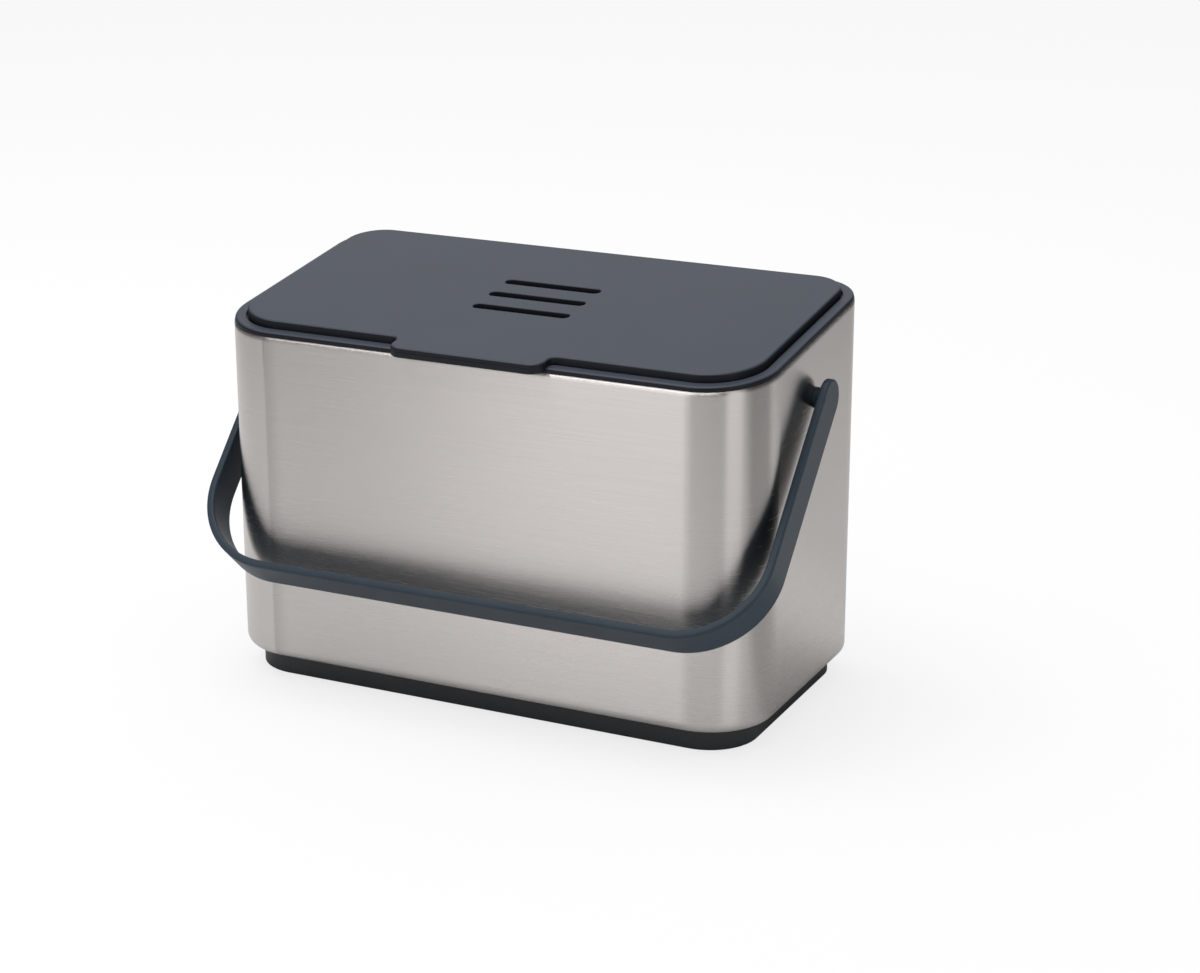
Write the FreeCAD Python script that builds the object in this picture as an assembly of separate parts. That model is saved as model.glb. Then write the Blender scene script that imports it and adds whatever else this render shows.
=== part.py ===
import FreeCAD, Part
import math
import os

Vector = FreeCAD.Vector

# Food waste caddy: a brushed steel sleeve with a sloping top, a plastic rim and base, a lift-out
# bucket, a vented lid hinged at the back with a filter under its slots, and a swinging bail handle.
# Millimetres, +X to the right, -Y to the front, +Z up, origin in the middle of the resting face.
# Heights called low, high, top or drop are counted from the steel's sloping top edge.

# Body outline
body_width = 300.0
body_depth = 154.6
front_radius = 35.0
back_radius = 26.0
least_radius = 2.0
edge_height = 195.8
slope_degrees = 7.41

# Steel sleeve
steel_wall = 0.8
steel_bottom = 12.0
steel_curl = 6.0
steel_edge_round = 0.4
steel_flange_inset = 14.0

# Top rim
rim_inset = 0.4
rim_top = 2.4
rim_round = 1.4
rim_ledge_width = 5.9
rim_ledge_round = 0.6
rim_rebate_floor = 0.6
rim_rebate_width = 2.7
rim_seat_floor = -1.4
rim_seat_width = 4.0
rim_thickness = 4.2
rim_skirt_length = 16.0
rim_skirt_wall = 2.0
rim_skirt_clearance = 0.1

# Base tray, clamp ring, mat and base screws
plinth_inset = 8.7
plinth_wall = 2.6
plinth_round = 1.2
tray_floor = 2.6
tray_lift = 0.5
mat_thickness = 1.2
mat_inset = 14.0
clamp_thickness = 3.0
clamp_curl_gap = 1.2
clamp_margin = 0.6
column_radius = 4.6
column_flange_gap = 0.4
column_side_inset = 45.0
base_screw_radius = 1.75
base_screw_head_radius = 3.4
base_screw_head_height = 1.2
base_screw_grip = 2.2

# Lift-out bucket
bucket_wall = 1.8
bucket_seat_clearance = 1.4
bucket_bottom_inset = 20.0
bucket_clamp_gap = 2.2
bucket_floor = 2.2
bucket_round = 8.0
flange_thickness = 1.6
flange_clearance = 0.4

# Lid panel
lid_edge_gap = 0.7
lid_rise = 3.7
lid_rest_gap = 0.4
lid_skin = 2.4
lid_skirt_wall = 2.2
lid_round = 1.4
tab_width = 84.5
tab_reach = 6.4
tab_corner = 7.0
tab_fillet = 4.0
tab_skin = 3.3
tab_lip_end = 1.3
tab_lip_gap = 1.0
tab_groove_low = 3.6
tab_groove_height = 0.5
tab_groove_depth = 0.5
slot_length = 54.0
slot_width = 6.0
slot_round = 0.7
slot_pitch = 17.9
slot_count = 3
slot_middle = -2.3

# Lid liner with the filter housing
liner_thickness = 1.6
liner_clearance = 0.2
housing_width = 118.0
housing_depth = 78.0
housing_wall = 1.6
housing_radius = 6.0
housing_drop = 6.6
seal_inset = 11.2
seal_width = 2.2
seal_groove = 0.5
seal_gap = 0.3
lid_screw_radius = 1.1
lid_screw_head_radius = 2.3
lid_screw_head_height = 1.0
lid_screw_grip = 1.6
lid_screw_side_share = 0.65
lid_screw_row_share = 0.5

# Filter pad and its cover
pad_clearance = 0.5
cover_thickness = 1.8
grille_slot_width = 4.0
grille_slot_pitch = 9.0
grille_border = 9.0
clip_width = 14.0
clip_wall = 1.4
clip_height = 5.0
clip_clearance = 0.15

# Lid hinge
hinge_back_wall = 0.6
hinge_rise = 1.2
knuckle_radius = 2.3
knuckle_length = 16.0
lug_length = 8.0
lug_gap = 0.4
pocket_clearance = 0.3
hinge_side_inset = 65.0
hinge_pin_radius = 1.1
hinge_pin_clearance = 0.05
knuckle_root = 1.2
knuckle_arm_top = 3.2

# Bail handle
pivot_back = 4.8
pivot_drop = 29.8
handle_degrees = 47.0
handle_gap = 4.4
handle_front_gap = 3.6
handle_thickness = 4.0
handle_width = 20.0
handle_corner = 45.5
handle_round = 0.9

# Handle pivots
stud_radius = 2.5
stud_head_radius = 4.0
stud_head_depth = 2.6
stud_bore_clearance = 0.05
boss_radius = 5.2
boss_face_gap = 0.3
boss_shank_radius = 4.0
plate_thickness = 1.8
plate_width = 24.0
plate_height = 22.0
plate_radius = 3.0
nut_thickness = 2.6
nut_flats = 12.0
washer_radius = 5.0
washer_thickness = 1.0
washer_gap = 0.3
pivot_screw_radius = 1.5
pivot_screw_head_radius = 3.0
pivot_screw_head_height = 1.5
pivot_screw_grip = 5.0

# Working values
overrun = 5.0
pick_tolerance = 0.01
slope = math.tan(math.radians(slope_degrees))
slope_cosine = math.cos(math.radians(slope_degrees))
span = body_width + body_depth
column_height = edge_height + body_depth
x_axis = Vector(1, 0, 0)
z_axis = Vector(0, 0, 1)

# Insets and heights of the rim's steps and of what seats on them
ledge_inset = rim_inset + rim_ledge_width
rebate_inset = ledge_inset + rim_rebate_width
seat_inset = rebate_inset + rim_seat_width
flange_inset = rebate_inset + flange_clearance
bucket_top_inset = seat_inset + bucket_seat_clearance
lid_inset = ledge_inset + lid_edge_gap
lid_top = rim_top + lid_rise
lid_skirt_end = rim_rebate_floor + lid_rest_gap
liner_inset = lid_inset + lid_skirt_wall + liner_clearance
liner_top = lid_top - lid_skin
liner_low = liner_top - liner_thickness

# Base stack, from the steel's flange up to the bucket
clamp_outer_inset = steel_curl + clamp_curl_gap
column_inset = steel_flange_inset + column_flange_gap + column_radius
column_pitch = body_width / 2 - column_side_inset
clamp_inner_inset = column_inset + column_radius + clamp_margin
clamp_low = steel_bottom + steel_wall
clamp_high = clamp_low + clamp_thickness
bucket_bottom = clamp_high + bucket_clamp_gap

# Hinge axis, sunk in the rim's back ledge below the lid's top face
hinge_inset = steel_wall + hinge_back_wall + knuckle_radius
hinge_spread = body_width / 2 - hinge_side_inset
hinge_y = body_depth / 2 - hinge_inset
hinge_z = edge_height + slope * hinge_y + hinge_rise

# Handle pivot stack, measured from the body's middle plane
steel_inside = body_width / 2 - steel_wall
plate_inside = steel_inside - plate_thickness
nut_inside = plate_inside - nut_thickness
stud_end = nut_inside - washer_gap
washer_inside = stud_end - washer_thickness
arm_inside = body_width / 2 + handle_gap
pivot_height = edge_height - pivot_drop

# Handle length from the pivot to the bar's outer face, so that the bar hangs clear of the steel
handle_angle = math.radians(handle_degrees)
bar_half_depth = handle_width / 2 * math.sin(handle_angle)
bar_reach = body_depth / 2 + pivot_back + handle_front_gap + bar_half_depth
handle_length = bar_reach / math.cos(handle_angle) + handle_thickness


def line(a, b):
    return Part.makeLine(a, b)


def corner_arc(cx, cy, radius, start_degrees):
    """A quarter arc about (cx, cy), anticlockwise from start_degrees."""
    points = []
    for part in (0, 45, 90):
        angle = math.radians(start_degrees + part)
        points.append(Vector(cx + radius * math.cos(angle), cy + radius * math.sin(angle), 0))
    return Part.Arc(*points).toShape()


def rounded_wire(left, right, front, back, front_corner, back_corner):
    """A closed outline at height 0 with two front and two back corner radii."""
    edges = [
        line(Vector(left + front_corner, front, 0), Vector(right - front_corner, front, 0)),
        corner_arc(right - front_corner, front + front_corner, front_corner, 270),
        line(Vector(right, front + front_corner, 0), Vector(right, back - back_corner, 0)),
        corner_arc(right - back_corner, back - back_corner, back_corner, 0),
        line(Vector(right - back_corner, back, 0), Vector(left + back_corner, back, 0)),
        corner_arc(left + back_corner, back - back_corner, back_corner, 90),
        line(Vector(left, back - back_corner, 0), Vector(left, front + front_corner, 0)),
        corner_arc(left + front_corner, front + front_corner, front_corner, 180),
    ]
    return Part.Wire(edges)


def body_wire(inset):
    """The body's outline moved inwards by inset."""
    half = body_width / 2 - inset
    end = body_depth / 2 - inset
    return rounded_wire(
        -half, half, -end, end,
        max(front_radius - inset, least_radius),
        max(back_radius - inset, least_radius),
    )


def box_wire(width, depth, radius, middle_x=0, middle_y=0):
    """A rounded rectangle about a middle point."""
    return rounded_wire(
        middle_x - width / 2, middle_x + width / 2,
        middle_y - depth / 2, middle_y + depth / 2,
        radius, radius,
    )


def raised(wire, low, high):
    """A level prism of the wire between two heights."""
    solid = Part.Face(wire).extrude(Vector(0, 0, high - low))
    solid.translate(Vector(0, 0, low))
    return solid


def column(wire):
    """A prism of the wire, tall enough to pass through the sloping top."""
    return raised(wire, 0, column_height)


def slab(low, high):
    """The space between two planes parallel to the sloping top edge."""
    corner = Vector(-span / 2, -span / 2, low * slope_cosine)
    block = Part.makeBox(span, span, (high - low) * slope_cosine, corner)
    block.rotate(Vector(0, 0, 0), x_axis, slope_degrees)
    block.translate(Vector(0, 0, edge_height))
    return block


def sloped(wire, low, high):
    """A prism of the wire cut off at two heights above the sloping edge."""
    return column(wire).common(slab(low, high))


def sloped_ring(outer_inset, inner_inset, low, high):
    ring = column(body_wire(outer_inset)).cut(column(body_wire(inner_inset)))
    return ring.common(slab(low, high))


def edge_plane_height(y):
    """Height of the steel's top edge at depth y."""
    return edge_height + slope * y


def on_level(edge, height):
    return all(abs(v.Z - height) < pick_tolerance for v in edge.Vertexes)


def on_slope(edge, above):
    return all(abs(v.Z - edge_plane_height(v.Y) - above) < pick_tolerance for v in edge.Vertexes)


def round_level(solid, height, radius):
    """Rounds the edges that lie at one height."""
    return solid.makeFillet(radius, [e for e in solid.Edges if on_level(e, height)])


def round_slope(solid, above, radius):
    """Rounds the edges that lie in one plane parallel to the sloping top."""
    return solid.makeFillet(radius, [e for e in solid.Edges if on_slope(e, above)])


def edge_middle(edge):
    return edge.valueAt((edge.FirstParameter + edge.LastParameter) / 2)


def inset_of(point):
    """How far a point lies inside the body's outline, seen from above."""
    radius = front_radius if point.y < 0 else back_radius
    past_x = abs(point.x) - (body_width / 2 - radius)
    past_y = abs(point.y) - (body_depth / 2 - radius)
    if past_x > 0 and past_y > 0:
        return radius - math.hypot(past_x, past_y)
    return radius - max(past_x, past_y)


def round_along(solid, above, inset, radius):
    """Rounds the sloping edges that follow the body's outline at one inset."""
    edges = []
    for edge in solid.Edges:
        follows = abs(inset_of(edge_middle(edge)) - inset) < pick_tolerance
        if follows and on_slope(edge, above):
            edges.append(edge)
    return solid.makeFillet(radius, edges)


def rod(radius, start_x, end_x, y, z):
    """A round bar along X."""
    low = min(start_x, end_x)
    return Part.makeCylinder(radius, abs(end_x - start_x), Vector(low, y, z), x_axis)


def upright(radius, x, y, low, high):
    """A round bar along Z."""
    return Part.makeCylinder(radius, high - low, Vector(x, y, low), z_axis)


def box_between(low, high):
    size = high - low
    return Part.makeBox(size.x, size.y, size.z, low)


def join(solids):
    whole = solids[0]
    for solid in solids[1:]:
        whole = whole.fuse(solid)
    return whole.removeSplitter()


def steel_shell():
    """Sleeve whose lower edge curls in to a flange that the base clamps."""
    outer = raised(body_wire(0), steel_bottom, column_height)
    outer = round_level(outer, steel_bottom, steel_curl)
    inner = raised(body_wire(steel_wall), steel_bottom + steel_wall, column_height)
    inner = round_level(inner, steel_bottom + steel_wall, steel_curl - steel_wall)
    shell = outer.cut(inner).cut(column(body_wire(steel_flange_inset)))
    shell = shell.cut(slab(0, column_height))
    shell = round_along(shell, 0, 0, steel_edge_round)
    for side in (-1, 1):
        start = side * (steel_inside - overrun)
        end = side * (body_width / 2 + overrun)
        shell = shell.cut(rod(boss_shank_radius, start, end, pivot_back, pivot_height))
    return shell


def hinge_stations():
    return [-hinge_spread, hinge_spread]


def rim_lugs(x):
    """Two fixed hinge lugs, one on each side of a lid knuckle, with feet on the ledge."""
    lugs = []
    for side in (-1, 1):
        near = x + side * (knuckle_length / 2 + lug_gap)
        far = near + side * lug_length
        foot = box_between(
            Vector(min(near, far), hinge_y - knuckle_radius, hinge_z - knuckle_radius),
            Vector(max(near, far), hinge_y + knuckle_radius, hinge_z),
        )
        lugs.append(rod(knuckle_radius, near, far, hinge_y, hinge_z))
        lugs.append(foot)
    return lugs


def top_rim():
    """Stepped ring on the steel's edge: outer ledge, rebate for the lid, seat for the bucket, skirt."""
    plate = sloped(body_wire(rim_inset), 0, rim_top)
    plate = round_slope(plate, rim_top, rim_round)
    skirt_inset = steel_wall + rim_skirt_clearance
    core = sloped(body_wire(skirt_inset), -rim_thickness, 0)
    skirt = sloped_ring(skirt_inset, skirt_inset + rim_skirt_wall, -rim_skirt_length, -rim_thickness)
    rim = plate.fuse(core).fuse(skirt)
    rim = rim.cut(sloped(body_wire(ledge_inset), rim_rebate_floor, lid_top))
    rim = rim.cut(sloped(body_wire(rebate_inset), rim_seat_floor, lid_top))
    rim = rim.cut(column(body_wire(seat_inset)))
    rim = round_along(rim, rim_top, ledge_inset, rim_ledge_round)
    for x in hinge_stations():
        reach = knuckle_length / 2 + lug_gap
        rim = rim.cut(rod(knuckle_radius + pocket_clearance, x - reach, x + reach, hinge_y, hinge_z))
        shut_way = plain_wire(x - reach, x + reach, body_depth / 2 - rebate_inset, hinge_y)
        rim = rim.cut(sloped(shut_way, rim_rebate_floor, lid_top))
        pocket_back = hinge_y + knuckle_radius + pocket_clearance
        open_way = plain_wire(x - reach, x + reach, hinge_y, pocket_back)
        rim = rim.cut(sloped(open_way, hinge_rise, lid_top))
        rim = join([rim] + rim_lugs(x))
        end = reach + lug_length
        rim = rim.cut(rod(hinge_pin_radius, x - end, x + end, hinge_y, hinge_z))
    return rim


def hinge_pin(x):
    end = knuckle_length / 2 + lug_gap + lug_length
    return rod(hinge_pin_radius, x - end, x + end, hinge_y, hinge_z)


def column_places():
    """Screw columns in two rows, front and back."""
    rows = body_depth / 2 - column_inset
    return [(i * column_pitch, side * rows) for side in (-1, 1) for i in (-1, 0, 1)]


def base_tray():
    """Closed tray with a plinth wall under the steel's flange and columns for the screws."""
    tray = raised(body_wire(plinth_inset), tray_lift, steel_bottom)
    tray = round_level(tray, tray_lift, plinth_round)
    floor_top = mat_thickness + tray_floor
    tray = tray.cut(raised(body_wire(plinth_inset + plinth_wall), floor_top, steel_bottom))
    tray = tray.cut(raised(body_wire(mat_inset), 0, mat_thickness))
    for x, y in column_places():
        tray = tray.fuse(upright(column_radius, x, y, floor_top, clamp_low))
        tray = tray.cut(upright(base_screw_radius, x, y, mat_thickness, clamp_low))
        tray = tray.cut(upright(base_screw_head_radius, x, y, mat_thickness, head_seat()))
    return tray


def head_seat():
    """Height of the face that the base screws' heads pull against."""
    return mat_thickness + base_screw_head_height


def clamp_ring():
    """Flat ring inside the sleeve that holds the steel's flange down on the tray."""
    ring = raised(body_wire(clamp_outer_inset), clamp_low, clamp_high)
    ring = ring.cut(raised(body_wire(clamp_inner_inset), clamp_low, clamp_high))
    for x, y in column_places():
        ring = ring.cut(upright(base_screw_radius, x, y, clamp_low, clamp_low + base_screw_grip))
    return ring


def base_screws():
    tip = clamp_low + base_screw_grip
    screws = []
    for x, y in column_places():
        head = upright(base_screw_head_radius, x, y, mat_thickness, head_seat())
        screws.append(join([head, upright(base_screw_radius, x, y, head_seat(), tip)]))
    return Part.makeCompound(screws)


def base_mat():
    return raised(body_wire(mat_inset), 0, mat_thickness)


def bucket_loft(extra_inset, bottom):
    """A tapering prism between the bucket's bottom outline and its top outline."""
    low = body_wire(bucket_bottom_inset + extra_inset)
    low.translate(Vector(0, 0, bottom))
    high = body_wire(bucket_top_inset + extra_inset)
    high.translate(Vector(0, 0, column_height))
    return Part.makeLoft([low, high], True, True)


def inner_bucket():
    """Tapered bucket that hangs by its flange in the rim's seat."""
    flange_top = rim_seat_floor + flange_thickness
    outer = round_level(bucket_loft(0, bucket_bottom), bucket_bottom, bucket_round)
    outer = outer.cut(slab(flange_top, column_height))
    flange = sloped(body_wire(flange_inset), rim_seat_floor, flange_top)
    inside = bucket_bottom + bucket_floor
    inner = round_level(bucket_loft(bucket_wall, inside), inside, bucket_round - bucket_wall)
    return join([outer, flange]).cut(inner)


def tab_wire():
    """Lift tab in plan, from under the panel's skirt out past the steel's front."""
    front = -body_depth / 2 - tab_reach
    root = -body_depth / 2 + lid_inset + lid_skirt_wall
    return rounded_wire(-tab_width / 2, tab_width / 2, front, root, tab_corner, least_radius)


def tab_groove():
    """Fine parting groove along the tab's front face, running out where the corners turn."""
    front = -body_depth / 2 - tab_reach
    wire = plain_wire(-tab_width / 2, tab_width / 2, front - tab_groove_depth, front + tab_groove_depth)
    return sloped(wire, tab_groove_low, tab_groove_low + tab_groove_height)


def lid_blank():
    """The lid's outline with its tab, with the re-entrant corners and the top edge rounded."""
    blank = join([column(body_wire(lid_inset)), column(tab_wire())])
    front = -body_depth / 2 + lid_inset
    upright_edges = []
    for edge in blank.Edges:
        middle = edge.CenterOfMass
        at_side = abs(abs(middle.x) - tab_width / 2) < pick_tolerance
        if at_side and abs(middle.y - front) < pick_tolerance:
            upright_edges.append(edge)
    blank = blank.makeFillet(tab_fillet, upright_edges).common(slab(lid_skirt_end, lid_top))
    return round_slope(blank, lid_top, lid_round)


def plain_wire(left, right, front, back):
    corners = [(left, front), (right, front), (right, back), (left, back), (left, front)]
    return Part.makePolygon([Vector(x, y, 0) for x, y in corners])


def lid_knuckle(x):
    """One hinge knuckle with the arm that joins it to the panel's back edge."""
    left = x - knuckle_length / 2
    right = x + knuckle_length / 2
    root = body_depth / 2 - lid_inset - knuckle_root
    arm = sloped(plain_wire(left, right, root, hinge_y), lid_skirt_end, knuckle_arm_top)
    return join([arm, rod(knuckle_radius, left, right, hinge_y, hinge_z)])


def slot_places():
    first = slot_middle - slot_pitch * (slot_count - 1) / 2
    return [first + slot_pitch * i for i in range(slot_count)]


def lid_screw_places():
    """Screws through the liner into the panel, between the filter housing and the seal."""
    seal_inside = seal_inset + seal_width
    housing_end = housing_width / 2
    column = housing_end + lid_screw_side_share * (body_width / 2 - seal_inside - housing_end)
    places = []
    for side in (-1, 1):
        housing_side = slot_middle + side * housing_depth / 2
        seal_side = side * (body_depth / 2 - seal_inside)
        row = housing_side + lid_screw_row_share * (seal_side - housing_side)
        places += [(-column, row), (0, row), (column, row)]
    return places


def lid_panel():
    """Top skin with a short skirt, vent slots, lift tab and hinge knuckles."""
    panel = lid_blank()
    hollow = sloped(body_wire(lid_inset + lid_skirt_wall), lid_skirt_end, liner_top)
    panel = panel.cut(hollow)
    front = -body_depth / 2
    over_ledge = plain_wire(-tab_width / 2 - tab_fillet, tab_width / 2 + tab_fillet,
                            front - tab_lip_gap, front + lid_inset)
    panel = panel.cut(sloped(over_ledge, lid_skirt_end, lid_top - tab_skin))
    beyond = plain_wire(-tab_width / 2, tab_width / 2, front - tab_reach, front)
    panel = panel.cut(sloped(beyond, lid_skirt_end, tab_lip_end))
    panel = panel.cut(tab_groove())
    for y in slot_places():
        slot = box_wire(slot_length, slot_width, slot_width / 2 - pick_tolerance, 0, y)
        panel = panel.cut(column(slot))
    slot_edges = []
    for edge in panel.Edges:
        if on_slope(edge, lid_top) and inset_of(edge_middle(edge)) > seal_inset:
            slot_edges.append(edge)
    panel = panel.makeFillet(slot_round, slot_edges)
    for x in hinge_stations():
        panel = join([panel, lid_knuckle(x)])
        reach = knuckle_length / 2
        bore = hinge_pin_radius + hinge_pin_clearance
        panel = panel.cut(rod(bore, x - reach, x + reach, hinge_y, hinge_z))
    for x, y in lid_screw_places():
        panel = panel.cut(sloped_peg(lid_screw_radius, x, y, liner_top, liner_top + lid_screw_grip))
    return panel


def sloped_peg(radius, x, y, low, high):
    """A round bar square to the sloping top, between two heights above the steel's edge."""
    along = Vector(0, -math.sin(math.radians(slope_degrees)), slope_cosine)
    start = Vector(x, y, edge_plane_height(y)) + along * (low * slope_cosine)
    return Part.makeCylinder(radius, (high - low) * slope_cosine, start, along)


def housing_wires():
    outer = box_wire(housing_width, housing_depth, housing_radius, 0, slot_middle)
    walls = 2 * housing_wall
    radius = housing_radius - housing_wall
    inner = box_wire(housing_width - walls, housing_depth - walls, radius, 0, slot_middle)
    return outer, inner


def seal_ring():
    return sloped_ring(seal_inset, seal_inset + seal_width, seal_low(), liner_low + seal_groove)


def seal_low():
    """Lower face of the seal, just clear of the bucket's flange while the lid is shut."""
    return rim_seat_floor + flange_thickness + seal_gap


def lid_liner():
    """Under panel with a groove for the seal and an open box that houses the filter."""
    outer, inner = housing_wires()
    liner = sloped(body_wire(liner_inset), liner_low, liner_top)
    liner = liner.fuse(sloped(outer, -housing_drop, liner_low)).removeSplitter()
    liner = liner.cut(column(inner))
    liner = liner.cut(seal_ring())
    for x, y in lid_screw_places():
        liner = liner.cut(sloped_peg(lid_screw_radius, x, y, liner_low - overrun, liner_top + overrun))
    return liner


def lid_screws():
    screws = []
    for x, y in lid_screw_places():
        head_low = liner_low - lid_screw_head_height
        head = sloped_peg(lid_screw_head_radius, x, y, head_low, liner_low)
        shank = sloped_peg(lid_screw_radius, x, y, liner_low, liner_top + lid_screw_grip)
        screws.append(join([head, shank]))
    return Part.makeCompound(screws)


def filter_pad():
    shrink = 2 * (housing_wall + pad_clearance)
    radius = housing_radius - housing_wall
    wire = box_wire(housing_width - shrink, housing_depth - shrink, radius, 0, slot_middle)
    return sloped(wire, -housing_drop, liner_top - pad_clearance)


def cover_clip(side):
    """A tongue that reaches up along one end of the filter housing."""
    inside = housing_width / 2 + clip_clearance
    near = side * inside
    far = side * (inside + clip_wall)
    half = clip_width / 2
    wire = plain_wire(min(near, far), max(near, far), slot_middle - half, slot_middle + half)
    return sloped(wire, -housing_drop - cover_thickness, -housing_drop + clip_height)


def filter_cover():
    """Slotted plate that closes the filter housing from below, held by two tongues."""
    low = -housing_drop - cover_thickness
    reach = housing_width + 2 * (clip_clearance + clip_wall)
    wire = box_wire(reach, housing_depth, housing_radius, 0, slot_middle)
    cover = sloped(wire, low, -housing_drop)
    length = housing_depth - 2 * grille_border
    count = int((housing_width - 2 * grille_border) / grille_slot_pitch)
    for i in range(count):
        x = (i - (count - 1) / 2) * grille_slot_pitch
        slot = box_wire(grille_slot_width, length, grille_slot_width / 2 - pick_tolerance, x, slot_middle)
        cover = cover.cut(column(slot))
    return join([cover, cover_clip(-1), cover_clip(1)])


def bail_wire(outside, length, corner):
    """Half-open U in the handle's own plane: arms from the pivot end, round corners, straight bar."""
    top = -handle_width / 2
    bend = length - corner
    return [
        line(Vector(outside, top, 0), Vector(outside, bend, 0)),
        corner_arc(outside - corner, bend, corner, 0),
        line(Vector(outside - corner, length, 0), Vector(corner - outside, length, 0)),
        corner_arc(corner - outside, bend, corner, 90),
        line(Vector(-outside, bend, 0), Vector(-outside, top, 0)),
    ]


def on_band_rim(edge):
    """Whether an edge of the band bounds one of its two broad faces."""
    half = handle_width / 2
    on_side = all(abs(abs(v.Z) - half) < pick_tolerance for v in edge.Vertexes)
    level = abs(edge.Vertexes[0].Z - edge.Vertexes[-1].Z) < pick_tolerance
    across = abs(edge.Length - handle_thickness) < pick_tolerance
    round_end = edge.Length > handle_width + pick_tolerance
    return on_side and not across and (level or round_end)


def handle_bail():
    """Flat U band with rounded arm ends, hanging to the front about the pivots."""
    outside = arm_inside + handle_thickness
    top = -handle_width / 2
    outer = bail_wire(outside, handle_length, handle_corner)
    inner = bail_wire(arm_inside, handle_length - handle_thickness, handle_corner - handle_thickness)
    ends = [
        line(Vector(-outside, top, 0), Vector(-arm_inside, top, 0)),
        line(Vector(arm_inside, top, 0), Vector(outside, top, 0)),
    ]
    wire = Part.Wire(Part.__sortEdges__(outer + inner + ends))
    band = Part.Face(wire).extrude(Vector(0, 0, handle_width))
    band.translate(Vector(0, 0, -handle_width / 2))
    round_end = rod(handle_width / 2, -outside, outside, 0, 0)
    straight = box_between(
        Vector(-outside, 0, -handle_width / 2),
        Vector(outside, handle_length, handle_width / 2),
    )
    bail = band.common(join([round_end, straight]))
    bail = bail.makeFillet(handle_round, [e for e in bail.Edges if on_band_rim(e)])
    for side in (-1, 1):
        socket = rod(stud_head_radius, side * arm_inside, side * (arm_inside + stud_head_depth), 0, 0)
        bail = bail.cut(socket)
    bail.rotate(Vector(0, 0, 0), x_axis, 180 + handle_degrees)
    bail.translate(Vector(0, pivot_back, pivot_height))
    return bail


def pivot_rod(radius, side, start, end):
    """A round bar on the handle's axis, on one side of the body."""
    return rod(radius, side * start, side * end, pivot_back, pivot_height)


def pivot_stud(side):
    """Headed stud fixed in the arm, with a tapped hole in its inner end."""
    head = pivot_rod(stud_head_radius, side, arm_inside, arm_inside + stud_head_depth)
    stud = join([head, pivot_rod(stud_radius, side, stud_end, arm_inside)])
    return stud.cut(pivot_rod(pivot_screw_radius, side, stud_end, stud_end + pivot_screw_grip))


def pivot_boss(side):
    """Spacer bush outside the steel, with a shank through the wall that the nut pulls in."""
    collar = pivot_rod(boss_radius, side, body_width / 2, arm_inside - boss_face_gap)
    boss = join([collar, pivot_rod(boss_shank_radius, side, nut_inside, body_width / 2)])
    bore = stud_radius + stud_bore_clearance
    return boss.cut(pivot_rod(bore, side, nut_inside - overrun, arm_inside))


def backing_plate(side):
    """Plate that spreads the handle's pull over the inside of the steel."""
    plate = raised(box_wire(plate_width, plate_height, plate_radius), 0, plate_thickness)
    plate.rotate(Vector(0, 0, 0), Vector(0, 1, 0), 90)
    plate.rotate(Vector(0, 0, 0), x_axis, 90)
    low = plate_inside if side > 0 else -steel_inside
    plate.translate(Vector(low, pivot_back, pivot_height))
    return plate.cut(pivot_rod(boss_shank_radius, side, plate_inside - overrun, steel_inside + overrun))


def boss_nut(side):
    """Hexagon nut on the boss's shank."""
    corner = nut_flats / math.sqrt(3)
    points = []
    for i in range(7):
        angle = math.radians(60 * i)
        y = pivot_back + corner * math.cos(angle)
        z = pivot_height + corner * math.sin(angle)
        points.append(Vector(side * nut_inside, y, z))
    nut = Part.Face(Part.makePolygon(points)).extrude(Vector(side * nut_thickness, 0, 0))
    return nut.cut(pivot_rod(boss_shank_radius, side, nut_inside - overrun, plate_inside + overrun))


def pivot_washer(side):
    washer = pivot_rod(washer_radius, side, washer_inside, stud_end)
    return washer.cut(pivot_rod(pivot_screw_radius, side, washer_inside, stud_end))


def pivot_screw(side):
    head = pivot_rod(pivot_screw_head_radius, side, washer_inside - pivot_screw_head_height, washer_inside)
    return join([head, pivot_rod(pivot_screw_radius, side, washer_inside, stud_end + pivot_screw_grip)])


def both_sides(make):
    return Part.makeCompound([make(-1), make(1)])


def build():
    nodes = {
        "steel_shell": steel_shell(),
        "top_rim": top_rim(),
        "base_tray": base_tray(),
        "clamp_ring": clamp_ring(),
        "base_screws": base_screws(),
        "base_mat": base_mat(),
        "inner_bucket": inner_bucket(),
        "lid_panel": lid_panel(),
        "lid_liner": lid_liner(),
        "lid_seal": seal_ring(),
        "lid_screws": lid_screws(),
        "filter_pad": filter_pad(),
        "filter_cover": filter_cover(),
        "handle_bail": handle_bail(),
        "boss_nuts": both_sides(boss_nut),
        "pivot_washers": both_sides(pivot_washer),
        "pivot_screws": both_sides(pivot_screw),
    }
    for side, word in ((-1, "left"), (1, "right")):
        nodes["hinge_pin_" + word] = hinge_pin(side * hinge_spread)
        nodes["pivot_stud_" + word] = pivot_stud(side)
        nodes["pivot_boss_" + word] = pivot_boss(side)
        nodes["backing_plate_" + word] = backing_plate(side)
    return nodes


os.makedirs("parts", exist_ok=True)
for name, shape in build().items():
    shape.exportStep("parts/" + name + ".step")
    state = "valid" if shape.isValid() else "not valid"
    print(name, len(shape.Solids), "solid", round(shape.Volume), "mm3", state)
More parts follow.
